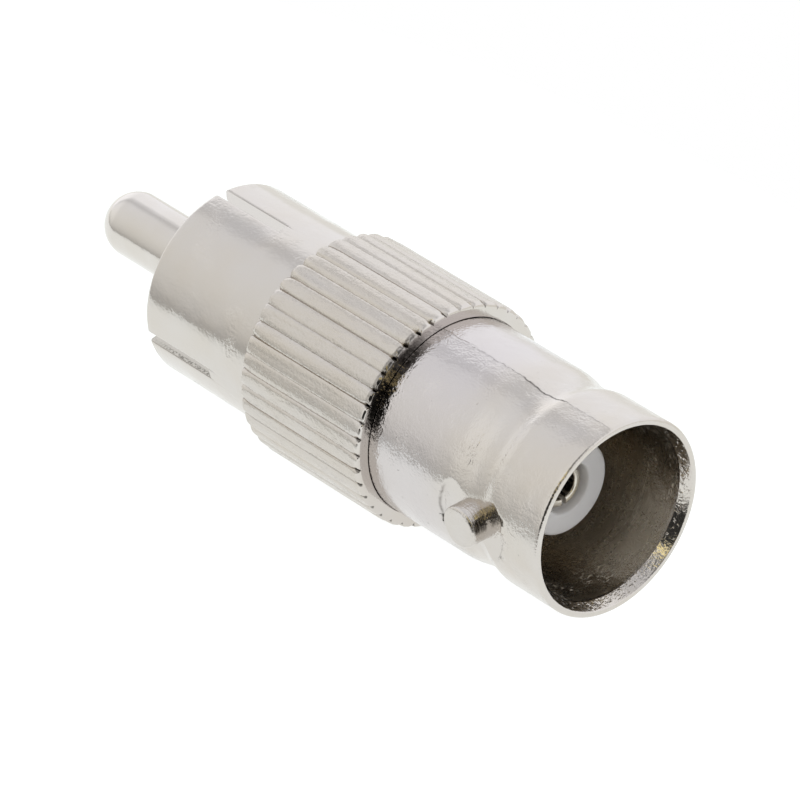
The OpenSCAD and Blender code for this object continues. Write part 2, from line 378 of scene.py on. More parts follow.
class Wire:
    """An output socket of a node tree. Sums, differences, products and quotients of wires add Math nodes."""

    def __init__(self, tree, socket):
        self.tree, self.socket = tree, socket

    def node(self, kind, settings=None, values=None, out=0):
        """Adds a node of any kind: its settings first, then a value or a wire for each socket by its name or
        number."""
        made = self.tree.nodes.new(kind)
        for key, value in (settings or {}).items():
            setattr(made, key, value)
        feed(made, values or {})
        return Wire(self.tree, made.outputs[out])

    def math(self, operation, *values):
        """A Math node on these values."""
        return self.node("ShaderNodeMath", {"operation": operation}, dict(enumerate(values)))

    def __add__(self, other):
        return self.math("ADD", self, other)

    def __sub__(self, other):
        return self.math("SUBTRACT", self, other)

    def __rsub__(self, other):
        return self.math("SUBTRACT", other, self)

    def __mul__(self, other):
        return self.math("MULTIPLY", self, other)

    def __truediv__(self, other):
        return self.math("DIVIDE", self, other)

    def __pow__(self, other):
        return self.math("POWER", self, other)

    __radd__, __rmul__ = __add__, __mul__

    def at_least(self, other):
        """The larger of this wire and another value."""
        return self.math("MAXIMUM", self, other)

    def ramp(self, low, high):
        """0 below the low value, 1 above the high one, smooth between them; it falls if low is the larger."""
        limits = {"Value": self, "From Min": low, "From Max": high}
        return self.node("ShaderNodeMapRange", {"interpolation_type": "SMOOTHSTEP"}, limits)

    def bell(self, centre, width):
        """1 at the centre, and a smooth fall to either side."""
        away = (self - centre) / width
        return self.math("EXPONENT", 0 - away * away)

    def blend(self, colour, other):
        """Colour where this wire is 0, the other colour where it is 1."""
        colours = {0: self, 6: colour, 7: other}
        return self.node("ShaderNodeMix", {"data_type": "RGBA", "clamp_factor": True}, colours, 2)

    def parts(self):
        """The three numbers of a vector."""
        split = self.node("ShaderNodeSeparateXYZ", None, {0: self})
        return [Wire(self.tree, socket) for socket in split.socket.node.outputs]

    def mark(self, name):
        """The number that a mesh keeps for each of its points under a name."""
        return self.node("ShaderNodeAttribute", {"attribute_name": name}, None, "Fac")

    def noise(self, scale, detail, stretch=(1, 1, 1)):
        """Soft noise from about -1 to 1, at a vector in millimetres: about so many spots to a millimetre."""
        place = self.node("ShaderNodeMapping", None, {"Vector": self, "Scale": stretch})
        noise = self.node("ShaderNodeTexNoise", None, {"Vector": place, "Scale": scale, "Detail": detail})
        return noise * 4 - 2


def feed(node, values):
    """Links a wire to, or sets a plain value at, each of these inputs of a node."""
    for key, value in values.items():
        if isinstance(value, Wire):
            value.tree.links.new(value.socket, node.inputs[key])
        else:
            node.inputs[key].default_value = value


def colour(value):
    """A socket's colour from three linear numbers."""
    return (*value, 1.0)


def layered(shade, *layers):
    """A colour with others laid over it in turn, each given as how much of it shows and its three numbers."""
    base = colour(shade)
    for amount, shade in layers:
        base = amount.blend(base, colour(shade))
    return base


def new_material(name):
    """Empty material, with the surface's place in millimetres as a wire."""
    material = bpy.data.materials.new(name)
    material.use_nodes = True
    tree = material.node_tree
    place = Wire(tree, tree.nodes.new("ShaderNodeTexCoord").outputs["Object"])
    place = place.node("ShaderNodeMapping", None, {"Vector": place, "Scale": (1 / MM, 1 / MM, 1 / MM)})
    return material, place


def finished(material, base, roughness, height, others):
    """A material with its shader's colour, roughness, bump of a height in millimetres and others set."""
    bump = height.node("ShaderNodeBump", None, {"Strength": 1.0, "Distance": MM, "Height": height})
    feed(material.node_tree.nodes["Principled BSDF"],
         {"Base Color": base, "Roughness": roughness, "Normal": bump, **others})
    return material


def axis_radius(place):
    """Distance from the adapter's axis in millimetres, the place in X and Y, and the height over the axis."""
    x, y, z = place.parts()
    up = z - AXIS_Z / MM
    return (y * y + up * up) ** 0.5, x, y, up


def cast_plating(finish):
    """Nickel plate on the die-cast barrel: cloudy satin with wrinkled patches and pits, a proud jagged
    parting line along the top and the bottom with painted shade at its foot, a mottled countersink, and a
    dull bore with a paler strip of painted light and bright flecks that are painted glints. A lug's front has
    a dark patch that is a painted dark reflection, with gold flecks that are painted glints. Painted shade
    runs along the step behind each lug, and a painted dark reflection lies on the barrel at the joint."""
    material, place = new_material("cast_nickel_plate")
    radius, x, y, up = axis_radius(place)
    depth = MOUTH_X / MM - x
    side = y.math("ABSOLUTE", y)
    past_lug = x - LUG_X
    from_lug = (past_lug * past_lug + up * up) ** 0.5
    along = y * LIT_STRIP_WAY[0] + up * LIT_STRIP_WAY[1]

    # Parts of the barrel
    lug = side.ramp(4.62, 4.75) * from_lug.ramp(1.3, 1.1)
    mouth = radius.ramp(4.5, 4.46) * depth.ramp(0.6, 0.5)
    bore = radius.ramp(4.34, 4.28) * depth.ramp(0.55, 0.75)
    outside = radius.ramp(4.4, 4.5) * depth.ramp(0.1, 0.2)
    joint = outside * depth.ramp(10.1, 10.5)

    # Grain
    cloud, wrinkle, grain = place.noise(0.5, 2), place.noise(4.5, 2), place.noise(9, 1)
    dent, speck = place.noise(1.3, 2), place.noise(6, 2)
    patch = place.noise(0.8, 2).ramp(0.0, 0.8)
    pit = place.noise(5.5, 1).ramp(0.95, 1.2) * (0.25 + 0.75 * patch)
    arcs, turning = place.noise(1.3, 3, (2.5, 0.25, 0.25)), place.noise(44, 1, (1, 0.015, 0.015))
    streak, hoop = place.noise(6, 2, (1, 0.15, 1)), place.noise(9, 2, (0.12, 1, 0.12))
    nick = speck.ramp(0.75, 1.1) * (0.4 + 0.6 * patch)

    # Parting line: a flank that rises to it and drops, with painted shade at its foot that is darker in the
    # neck
    off = y + 0.22 + place.noise(2, 6, (1, 0.1, 0.1)) * 0.08
    flank = (off / 0.5 + 1).at_least(0) ** 2 * off.ramp(0.05, 0.0)
    deep = depth.ramp(2.9, 3.3) * depth.ramp(5.9, 5.5)
    line_shade = (0.25 + 0.3 * wrinkle + 0.65 * deep) * (1 - 0.5 * depth.ramp(3, 2.6))
    line = outside * off.bell(0.02, 0.04) * line_shade * (0.3 + 0.7 * depth.ramp(9, 7.4))

    # Painted dark reflection at the joint with the knurled body; in the bore, a paler strip of painted light
    # and bright flecks that are painted glints
    joint_dark_reflection = 0.85 * joint * depth.ramp(10.4, 10.8) * y.ramp(-0.9, -2.2) * y.ramp(-4.7, -4.4)
    joint_dark_reflection = joint_dark_reflection * up.ramp(-0.5, 0.5) * (0.75 + 0.4 * wrinkle)
    lit_strip = bore * along.ramp(2.9, 4.2) * depth.ramp(5.5, 0.8)
    fleck_spots = place.noise(7, 3, (1.6, 0.6, 0.6)).ramp(0.3, 0.5) * place.noise(0.9, 1).ramp(-0.3, 0.2)
    fleck_spots = fleck_spots * bore * depth.ramp(3.6, 1.5) * along.ramp(4.1, 3.4)

    # A lug's front: a dark patch that is a painted dark reflection, with gold flecks that are painted glints;
    # and painted shade along the step at the edge of the flat behind it
    ahead = lug * past_lug.ramp(0.5, 0.8)
    lug_dark_reflection = ahead * side.ramp(5.44, 5.36) * up.ramp(-0.1, 0.2) * up.ramp(0.7, 0.5)
    lug_dark_reflection = lug_dark_reflection * (0.8 + 0.45 * hoop)
    gold_glints = ahead * up.ramp(0.4, 0.55) * up.ramp(0.95, 0.8) * speck.ramp(0.1, 0.6)
    # Painted shade: a dark crescent along the step at the edge of the lug's flat
    step = outside * from_lug.bell(2.06, 0.05) * (LUG_X - x).ramp(0.8, 1.5) * up.ramp(1.3, 0.5)

    base = layered(
        finish.nickel, (cloud * 0.4 + 0.3, finish.warm), (0.8 * depth.ramp(5, 8), finish.cool),
        (bore * (0.9 + 0.1 * arcs), finish.tarnish), (lit_strip, finish.bore_painted_light),
        (0.55 * outside * pit + line + joint_dark_reflection, finish.soot_and_shade), (0.6 * mouth * speck.ramp(0.7, 1.1), finish.soot_and_shade),
        (lug_dark_reflection + step * (0.5 + 0.3 * wrinkle), finish.soot_and_shade), (0.8 * gold_glints, finish.gold_glint_tint), (fleck_spots, finish.painted_glint))
    rough = (cloud * 0.03 + grain * 0.03 + finish.cast_roughness + bore * (0.08 + arcs * 0.04)
             + lug * 0.06 - joint * 0.08 - mouth * 0.06)
    height = (cloud * 0.018 + dent * 0.006 + wrinkle * (0.002 + 0.004 * patch + 0.004 * joint)
              + grain * (0.0018 + 0.003 * patch) - 0.006 * pit + outside * flank * 0.022
              + mouth * speck.ramp(0.4, 0.9) * 0.02 + bore * (turning * 0.003 + nick * 0.05)
              + lug * (streak * 0.008 + hoop * 0.004))
    return finished(material, base, rough, height, {"Metallic": 1 - 0.85 * fleck_spots})


def turned_plating(finish):
    """Nickel plate on the turned body: smooth with faint wrinkles and lathe lines on the shell, a grainy
    knurl with painted shade in the notches where its grooves end, and saw cuts whose edges are worn round.
    The saw cuts and the shell's inside are paler, partly in their own tone and partly as painted light.
    Painted shade runs along the cuts' outer edges and lies deep in the cut towards -Y, and the ring next to
    the barrel has a painted dark reflection."""
    material, place = new_material("turned_nickel_plate")
    radius, x, y, up = axis_radius(place)

    # Parts of the body
    knurl = radius.ramp(4.9, 5.0) * x.ramp(6.1, 5.9)
    ring = radius.ramp(4.85, 4.9) * x.ramp(5.9, 6.0)
    inner = radius.ramp(4.3, 4.2) * x.ramp(-0.5, -0.8)
    wall = place.mark("wall").ramp(0.7, 0.95)
    cut = wall * radius.ramp(4.75, 4.72)
    # rim: the saw cuts' outer edges, where a thin line of painted shade goes
    rim = wall * radius.ramp(4.75, 4.775) * radius.ramp(4.806, 4.802) * x.ramp(-9.4, -7.5)

    # Grain
    cloud, wrinkle, grain = place.noise(0.5, 2), place.noise(6, 2), place.noise(9, 2)
    streak, fleck_spots = place.noise(1.3, 2, (0.06, 1, 1)), place.noise(7, 3, (0.3, 1, 1))
    lathe = place.noise(5, 1, (1, 0.04, 0.04))
    patch = place.noise(0.7, 2).ramp(0.0, 0.8)

    # Painted shade deep in the saw cut towards -Y, with speckles; a painted dark reflection on the ring next
    # to the barrel; and painted shade in the notches, stronger towards -Y
    deep_cut_shade = cut * y.ramp(-3.5, -4.5) * radius.ramp(4.5, 4.62) * x.ramp(-9.4, -7.6)
    joint_dark_reflection = 0.8 * ring * y.ramp(-0.9, -2.2) * y.ramp(-4.8, -4.5) * up.ramp(-0.5, 0.5)
    joint_dark_reflection = joint_dark_reflection * (0.7 + 0.4 * wrinkle)
    notch = place.mark("notch").ramp(0.35, 0.7) * (0.3 + 0.5 * y.ramp(0.5, -2))

    base = layered(
        finish.nickel, (cloud * 0.3 + knurl * (0.3 + 0.3 * streak) + 0.25, finish.warm),
        # Paler in the saw cuts and inside the shell: partly their own tone, partly painted light against
        # their shade
        (cut.at_least(inner), finish.sawn_and_lit),
        (rim * (0.45 + 0.2 * wrinkle) + 0.55 * deep_cut_shade * grain.ramp(-0.6, 0.4), finish.soot_and_shade),
        (knurl * (0.14 + 0.4 * fleck_spots.ramp(0.2, 1.1)), finish.grime), (notch + joint_dark_reflection, finish.soot_and_shade))
    rough = cloud * 0.02 + finish.turned_roughness + knurl * (0.1 + 0.05 * fleck_spots) + cut * 0.05 - ring * 0.06
    plain = (1 - knurl) * (1 - 0.75 * ring)
    height = (plain * (lathe * 0.001 + wrinkle * (0.002 + 0.006 * patch)) + cloud * 0.014
              + knurl * (fleck_spots * (0.003 + 0.006 * patch) + grain * 0.0045 + wrinkle * 0.004 + streak * 0.03)
              + wall * (4.8 - radius).at_least(0) * 1.4)
    return finished(material, base, rough, height, {"Metallic": 1.0})


def pin_plating(finish):
    """Smooth nickel plate on the plug's pin, with faint lines along it from use."""
    material, place = new_material("pin_nickel_plate")
    cloud, wrinkle = place.noise(0.6, 2), place.noise(4, 2)
    lines = place.noise(5, 2, (0.08, 1, 1))
    base = layered(finish.pin, (cloud * 0.25 + 0.2, finish.warm))
    rough = cloud * 0.02 + lines * 0.02 + 0.12
    height = lines * 0.0008 + wrinkle * 0.0012
    return finished(material, base, rough, height, {"Metallic": 1.0})


def contact_plating(finish):
    """Plated spring bronze of the socket contact."""
    material, place = new_material("contact_plate")
    cloud, grain = place.noise(1.5, 3), place.noise(14, 3)
    base = layered(finish.contact, (cloud * 0.25 + 0.3, finish.warm))
    rough = cloud * 0.03 + grain * 0.03 + 0.22
    return finished(material, base, rough, grain * 0.0005, {"Metallic": 1.0})


def plastic(name, shade):
    """Moulded plastic with a faint cloud in its colour and a fine grain, and painted light that makes it
    paler next to the centre contact.
    """
    material, place = new_material(name)
    radius = axis_radius(place)[0]
    cloud, grain = place.noise(1.2, 3), place.noise(12, 3)
    darker, recess_light = ([factor * part for part in shade] for factor in (0.94, 1.17))
    # Painted light: paler in the recess round the centre contact
    base = layered(shade, (cloud * 0.3 + 0.4, darker), (radius.ramp(1.32, 1.2), recess_light))
    rough = cloud * 0.03 + grain * 0.02 + 0.36
    translucence = {"IOR": 1.38, "Subsurface Weight": 0.7, "Subsurface Radius": (1.0, 1.0, 1.0),
                    "Subsurface Scale": 0.8 * MM}
    return finished(material, base, rough, grain * 0.0006, translucence)


# Pieces


def barrel_columns():
    """Angles of the barrel's columns: close together beside the two lugs, wider elsewhere."""
    beside, narrow, wide = 26, 0.65, 1.6
    coarse = np.radians(np.arange(0, 180 - 2 * beside, wide)) + np.radians(beside)
    fine = np.radians(np.arange(-beside, beside, narrow))
    half = np.concatenate([fine, coarse]) + np.pi / 2
    return np.concatenate([half, half + np.pi])


def barrel_surface(s):
    """Points of the barrel: its outline turned about the axis. Within the cutter's circle round each lug the
    radius is pressed down to a plane's, which is its distance over the cosine of the angle from the lug."""
    r, neck, spigot = s.outer_d / MM / 2, s.neck_d / MM / 2, s.spigot_d / MM / 2
    bore, wide, sink = s.bore_d / MM / 2, s.front_bore_d / MM / 2, s.countersink_d / MM / 2
    ahead, behind = s.neck_start / MM, (s.neck_start + s.neck_length) / MM
    slope, rise = s.neck_slope / MM / 2, s.neck_rise / MM / 2
    length, edge, taper = s.length / MM, s.mouth_edge / MM, s.bore_taper / MM
    deep, narrow, floor = s.countersink_depth / MM, s.front_bore_depth / MM, s.bore_depth / MM
    margin, fine = 0.6, 0.06
    path = rounded_path([
        (0, sink, 0.05, 0.1), (0, r, edge, 0.3),
        (ahead - slope - margin, r, 0, fine), (ahead - slope, r, 0.3, fine),
        (ahead + slope, neck, 0.33, fine), (behind - rise, neck, 0.45, fine),
        (behind + rise, r, 0.45, fine), (behind + rise + margin, r, 0, 0.3),
        (length, r, 0.15, 0.1), (length, spigot, 0.02, 0.3), (WEB_START, spigot, 0.15, 0.5),
        (WEB_START, FLANGE_HOLE_R, 0.02, 1), (FLANGE_START, FLANGE_HOLE_R, 0.02, 0.5),
        (FLANGE_START, SLEEVE_HOLE_R, 0.02, 0.5), (floor, SLEEVE_HOLE_R, 0.05, 0.4),
        (floor, bore, 0.12, 0.25), (narrow + taper, bore, 0.5, 0.25), (narrow, wide, 0.5, 0.25),
        (deep, wide, 0.03, 0.12),
    ], closed=True)
    angle = barrel_columns()
    depth, radius = path[:, :1], np.repeat(path[:, 1:], len(angle), 1)
    lug_depth = s.neck_start + s.neck_length / 2
    plane = s.neck_d / 2 - s.spot_sink
    shoulder = np.argmax(path[:, 0] > s.length - 0.2 * MM)
    outside = np.arange(len(path))[:, None] < shoulder
    beside, meeting, softness = 0.6, 0.02 * MM, 0.07 * MM
    for centre in (np.pi / 2, -np.pi / 2):
        off = angle_from(angle, centre)[None, :]
        near = np.abs(off) < beside
        reach = np.hypot(radius * np.sin(off), depth - lug_depth)
        flat = soft_min(radius, plane / np.cos(np.where(near, off, 0)), meeting)
        inside = smooth_step(softness, -softness, reach - s.spot_d / 2)
        radius = np.where(outside & near, radius + (flat - radius) * inside, radius)
    return turned(depth, radius, angle)


def lug_surface(s, side):
    """Points of one lug: rings about the lug's own axis. Near its foot a ring's height follows the barrel's
    wall, the plane or the neck's round floor, whichever is lower; near its tip it is level."""
    lug, tip = s.lug_d / MM / 2, s.lug_span / MM / 2
    plane, neck = (s.neck_d / 2 - s.spot_sink) / MM, s.neck_d / MM / 2
    edge, foot, bottom = 0.16, -0.15, plane - 0.3
    wall_rings, bend_rings, top_rings = 5, 7, lug * np.array([0.75, 0.5, 0.25])
    level_rings = bend_rings + len(top_rings)
    turn = circle(72)
    bend = np.linspace(0, np.pi / 2, bend_rings)
    reach = np.concatenate([[lug] * (1 + wall_rings), lug - edge + edge * np.cos(bend), top_rings])
    rise = np.concatenate([[foot], np.linspace(0.1, 0.7, wall_rings), np.zeros(level_rings)])
    level = np.concatenate([[0], np.linspace(0.1, 0.9, wall_rings), np.ones(level_rings)])
    top = np.concatenate([[0], np.linspace(plane + 0.1, tip - 0.22, wall_rings),
                          tip - edge + edge * np.sin(bend), tip * np.ones(len(top_rings))])
    across = reach[:, None] * np.sin(turn)
    wall = np.minimum(plane, np.sqrt(neck ** 2 - across ** 2))
    height = (1 - level[:, None]) * (wall + rise[:, None]) + level[:, None] * top[:, None]
    middle = (s.neck_start + s.neck_length / 2) / MM
    depth = middle + reach[:, None] * np.cos(turn)
    grid = np.stack([MOUTH_X - depth * MM, side * height * MM, AXIS_Z + across * MM], -1)
    ends = [[MOUTH_X - middle * MM, side * h * MM, AXIS_Z] for h in (bottom, tip)]
    return grid, np.array(ends)


class ADAPTER_OT_bayonet_barrel(bpy.types.Operator):
    """Adds the die-cast bayonet barrel with its necked outside and its two lugs"""

    bl_idname = "adapter.bayonet_barrel"
    bl_label = "Bayonet barrel"

    def execute(self, context):
        s = context.scene.adapter_barrel
        material = cast_plating(context.scene.adapter_finish)
        grid = barrel_surface(s)
        quads = lattice(*grid.shape[:2], True)
        barrel = make_piece("bayonet_barrel", grid, quads, [], material, "cast_nickel")
        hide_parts("bnc_barrel")
        points, quads, triangles, first = [], [], [], 0
        for side in (-1, 1):
            grid, ends = lug_surface(s, side)
            rows, columns = grid.shape[:2]
            ring = np.arange(columns)
            last = rows * columns
            faces = lattice(rows, columns, False)
            caps = np.vstack([pole(ring, last, True), pole(ring + last - columns, last + 1, False)])
            flip = slice(None, None, 1 if side < 0 else -1)
            points += [grid.reshape(-1, 3), ends]
            quads.append(faces[:, flip] + first)
            triangles.append(caps[:, flip] + first)
            first += last + 2
        make_piece("bayonet_lugs", np.vstack(points), np.vstack(quads), np.vstack(triangles),
                   material, "cast_nickel")
        return {"FINISHED"}


def ridge_columns(grooves):
    """Angles of the knurl's columns: twenty to a groove and its ridge, closer together in the groove. They
    start three grooves before the top, so that no saw cut crosses the first column."""
    before = 3
    half = np.array([0, 0.012, 0.03, 0.05, 0.075, 0.105, 0.145, 0.2, 0.29, 0.4])
    one = np.concatenate([half, [0.5], 1 - half[:0:-1]])
    turns = (np.arange(grooves)[:, None] - before + one).ravel()
    return turns * FULL_TURN / grooves, np.tile(one, grooves)


def knurl_radius(s, depth, part, deeper, lean):
    """Radius over the knurl at a part of the pitch, 0 at a groove's bottom, and how far a place is in the
    notch at a groove's end. A ridge's top is a parabola that leans a little, and a groove is a cusp with
    round shoulders, which flares and deepens to a notch at the knurl's two ends."""
    top, pitch = s.knurl_d / 2, np.pi * s.knurl_d / s.grooves
    blunt, front_fade, rear_fade = 0.01 * MM, 0.1 * MM, 0.3 * MM
    front = np.exp(-np.maximum(depth - s.knurl_start - 0.8 * s.front_edge, 0) / front_fade)
    rear = np.exp((depth - s.knurl_start - s.knurl_length) / rear_fade)
    from_groove = np.minimum(part, 1 - part)
    away = np.hypot(from_groove * pitch, blunt) - blunt
    crown = s.ridge_crown * (1 - 2 * from_groove) ** 2
    cusp = np.exp(-away / s.groove_w / (1 + 0.8 * front + 2 * rear))
    slant = s.ridge_lean * lean * (part - 0.5) * (1 - cusp)
    fall = s.groove_depth * deeper * (1 + 2.5 * front + 3.5 * rear) * cusp
    return top - crown + slant - fall, cusp * (front + 0.6 * rear)


class ADAPTER_OT_knurled_body(bpy.types.Operator):
    """Adds the knurled body with the plug's slotted shell"""

    bl_idname = "adapter.knurled_body"
    bl_label = "Knurled body"

    def execute(self, context):
        s = context.scene.adapter_body
        front, rear = s.knurl_start / MM, (s.knurl_start + s.knurl_length) / MM
        top, shell, bore = s.knurl_d / MM / 2, s.shell_d / MM / 2, s.shell_bore_d / MM / 2
        end, edge, seat = s.shell_end / MM, s.shell_edge / MM, s.seat_d / MM / 2
        seat_end, rear_edge = s.seat_end / MM, s.rear_edge / MM
        slot_start = end - s.slot_length / MM
        path = rounded_path([
            (front, seat, 0.03, 0.1), (front, top, s.front_edge / MM, 0.08), (front + 0.8, top, 0, 0.8),
            (rear - 0.9, top, 0, 0.07), (rear - rear_edge, top, 0.05, 0.03),
            (rear, top - rear_edge, 0.03, 0.1), (rear, shell, 0.05, 0.8),
            (slot_start, shell, 0, 0.55), (end - edge, shell, 0.1, 0.06), (end, shell - edge, 0.05, 1),
            (end, bore + edge, 0.05, 0.06), (end - edge, bore, 0.1, 0.55), (slot_start, bore, 0, 1.7),
            (WEB_END, bore, 0, 0.5), (WEB_END, WEB_HOLE_R, 0, 1), (WEB_START, WEB_HOLE_R, 0, 1),
            (WEB_START, SPIGOT_HOLE_R, 0, 2), (seat_end, SPIGOT_HOLE_R, 0, 0.3), (seat_end, seat, 0, 0.2),
        ], closed=True, bends=4)
        depth, radius = path[:, :1], path[:, 1:]
        angle, part = ridge_columns(s.grooves)

        # The knurl's ridges, each with its own depth and lean
        on_knurl = (depth < s.knurl_start + s.knurl_length + 1e-6) & (radius > s.shell_d / 2 + 0.06 * MM)
        chance = np.random.default_rng(KNURL_SEED)
        each = len(angle) // s.grooves
        deeper = chance.uniform(0.5, 1.3, s.grooves).repeat(each)
        lean = chance.uniform(-1, 1, s.grooves).repeat(each)
        ridges, notch = knurl_radius(s, depth, part, deeper, lean)
        notch = np.where(on_knurl & (radius > s.knurl_d / 2 - s.front_edge), notch, 0)
        radius = np.where(on_knurl, soft_min(radius, ridges, 0.03 * MM), radius)

        # The shell's saw cuts, whose edges are worn down
        centres = [0, s.slot_angle, np.pi, np.pi + s.slot_angle]
        slots = slot_columns(angle, centres, np.arcsin(s.slot_w / s.shell_d))
        angles = np.repeat(angle[None, :], len(path), 0)
        on_shell = (path[:, 0] > (rear - 0.01) * MM) & (path[:, 1] < s.shell_d / 2 + 0.2 * MM)
        for row in np.flatnonzero(on_shell):
            angles[row] = slot_warp(angle, slots, s.slot_w, 0.05 * MM, path[row, 1])
        first, last = np.flatnonzero(np.abs(path[:, 0] - slot_start * MM) < SAME_PLACE)
        rows, columns = angles.shape
        wall = np.zeros((rows, columns))
        on_outer_face = np.arange(first, last + 1) <= (first + last) // 2
        wear = np.where(on_outer_face, -0.03 * MM, 0.03 * MM)[:, None]
        for _, left, right in slots:
            wall[first:last + 1, [left, right]] = 1
            radius[first:last + 1, [left, right]] += wear
        quads = slotted_lattice(rows, columns, True, first, last, slots)
        body = make_piece("knurled_body_and_shell", turned(depth, radius, angles), quads, [],
                          turned_plating(context.scene.adapter_finish), "turned_nickel",
                          marks={"notch": notch, "wall": wall})
        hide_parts("knurled_body")
        return {"FINISHED"}


class ADAPTER_OT_insulators(bpy.types.Operator):
    """Adds the jack's white insulator and the plug's grey one"""

    bl_idname = "adapter.insulators"
    bl_label = "Insulators"

    def execute(self, context):
        s, finish = context.scene.adapter_inserts, context.scene.adapter_finish
        angle = circle(128)
        face, sleeve, flange = s.face_depth / MM, s.sleeve_d / MM / 2, s.flange_d / MM / 2
        recess, deep = s.recess_d / MM / 2, (s.face_depth + s.recess_depth) / MM
        boss = s.boss_d / MM / 2
        jack = rounded_path([
            (face, recess, 0.12, 0.12), (face, sleeve, 0.2, 0.4), (FLANGE_START, sleeve, 0.02, 0.4),
            (FLANGE_START, flange, 0.05, 1), (WEB_START, flange, 0.05, 0.5),
            (WEB_START, COLLAR_HOLE_R, 0.02, 0.5), (COLLAR_START, COLLAR_HOLE_R, 0.02, 0.3),
            (COLLAR_START, CONTACT_HOLE_R, 0.02, 1), (deep, CONTACT_HOLE_R, 0.02, 0.1),
            (deep, recess, 0.04, 0.15),
        ], closed=True)
        plug = rounded_path([
            (WEB_START, boss, 0.02, 0.5), (WEB_END, boss, 0.02, 0.4), (WEB_END, DISC_R, 0.02, 0.5),
            (DISC_END, DISC_R, 0.1, 0.2), (DISC_END, PIN_ROOT_HOLE_R, 0.05, 0.4),
            (PIN_HEAD_END, PIN_ROOT_HOLE_R, 0.02, 0.2), (PIN_HEAD_END, PIN_HEAD_HOLE_R, 0.02, 0.4),
            (WEB_START, PIN_HEAD_HOLE_R, 0.02, 0.4),
        ], closed=True)
        for name, path, node, slot, shade in (
            ("jack_insulator", jack, "bnc_insulator", "white_plastic", finish.white),
            ("plug_insulator", plug, "rca_insulator", "grey_plastic", finish.grey),
        ):
            quads = lattice(len(path), len(angle), True)
            points = turned(path[:, :1], path[:, 1:], angle)
            piece = make_piece(name, points, quads, [], plastic(slot, shade), slot)
            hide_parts(node)
        return {"FINISHED"}


class ADAPTER_OT_centre_conductor(bpy.types.Operator):
    """Adds the slotted socket contact and the plug's round-ended pin"""

    bl_idname = "adapter.centre_conductor"
    bl_label = "Centre conductor"

    def execute(self, context):
        s, finish = context.scene.adapter_inserts, context.scene.adapter_finish
        self.add_contact(s, contact_plating(finish))
        self.add_pin(s, pin_plating(finish))
        return {"FINISHED"}

    def add_contact(self, s, material):
        """Adds the socket contact: a tube with a saw cut across its end, a collar and a thin tail."""
        start, outer, bore = s.contact_start / MM, s.contact_d / MM / 2, s.contact_bore_d / MM / 2
        bore_end, cut = start + 5.5, start + 4
        path = rounded_path([
            (bore_end, NEAR_AXIS, 0, 0.2), (bore_end, bore, 0.02, 1), (cut, bore, 0, 0.4),
            (start, bore, 0.12, 0.06), (start, outer, 0.12, 0.4), (cut, outer, 0, 1),
            (COLLAR_START, outer, 0.02, 0.4), (COLLAR_START, COLLAR_R, 0.05, 0.5),
            (WEB_START, COLLAR_R, 0.05, 0.4), (WEB_START, TAIL_R, 0.02, 1), (TAIL_END, TAIL_R, 0.1, 0.3),
            (TAIL_END, NEAR_AXIS, 0, 1),
        ], closed=False)
        angle = circle(96) - np.pi / 2
        slots = slot_columns(angle, (0, np.pi), np.arcsin(s.contact_slot_w / s.contact_d))
        angles = np.repeat(angle[None, :], len(path), 0)
        for row in range(len(path)):
            reach = max(path[row, 1], bore * MM)
            angles[row] = slot_warp(angle, slots, s.contact_slot_w, 0.04 * MM, reach)
        first, last = np.flatnonzero(np.abs(path[:, 0] - cut * MM) < SAME_PLACE)
        quads = slotted_lattice(*angles.shape, False, first, last, slots)
        tip = path[-1, 0]
        piece = self.add("socket_contact_slotted", path, tip, angles, quads, material, "contact_bronze")
        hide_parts("socket_contact")

    def add_pin(self, s, material):
        """Adds the plug's pin: a hollow head round the contact's tail, a root and a round-ended shank."""
        pin, tip = s.pin_d / MM / 2, FULL_DEPTH / MM
        shank = rounded_path([
            (TAIL_HOLE_END, NEAR_AXIS, 0, 0.3), (TAIL_HOLE_END, TAIL_HOLE_R, 0.02, 0.5),
            (WEB_START, TAIL_HOLE_R, 0.02, 0.4), (WEB_START, PIN_HEAD_R, 0.05, 0.4),
            (PIN_HEAD_END, PIN_HEAD_R, 0.05, 0.4), (PIN_HEAD_END, PIN_ROOT_R, 0.02, 0.5),
            (DISC_END, PIN_ROOT_R, 0.02, 0.1), (DISC_END, pin, 0.02, 0.5), (tip - pin - 0.05, pin, 0, 1),
        ], closed=False)
        bend = np.linspace(0, 0.49 * np.pi, 25)
        dome = np.stack([tip - pin + pin * np.sin(bend), pin * np.cos(bend)], -1) * MM
        path = np.vstack([shank, dome])
        angles = np.repeat(circle(128)[None, :], len(path), 0)
        quads = lattice(*angles.shape, False)
        piece = self.add("plug_pin", path, FULL_DEPTH, angles, quads, material, "pin_nickel")
        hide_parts("rca_pin")

    def add(self, name, path, tip, angles, quads, material, slot):
        """Adds a turned piece whose path starts and ends beside the axis, closed by poles on the axis at the
        path's first depth and at the tip's."""
        rows, columns = angles.shape
        ends = turned(np.array([path[0, 0], tip]), 0.0, 0.0)
        points = np.vstack([turned(path[:, :1], path[:, 1:], angles).reshape(-1, 3), ends])
        ring = np.arange(columns)
        caps = np.vstack([pole(ring, rows * columns, True),
                          pole(ring + (rows - 1) * columns, rows * columns + 1, False)])
        return make_piece(name, points, quads, caps, material, slot)


# Studio


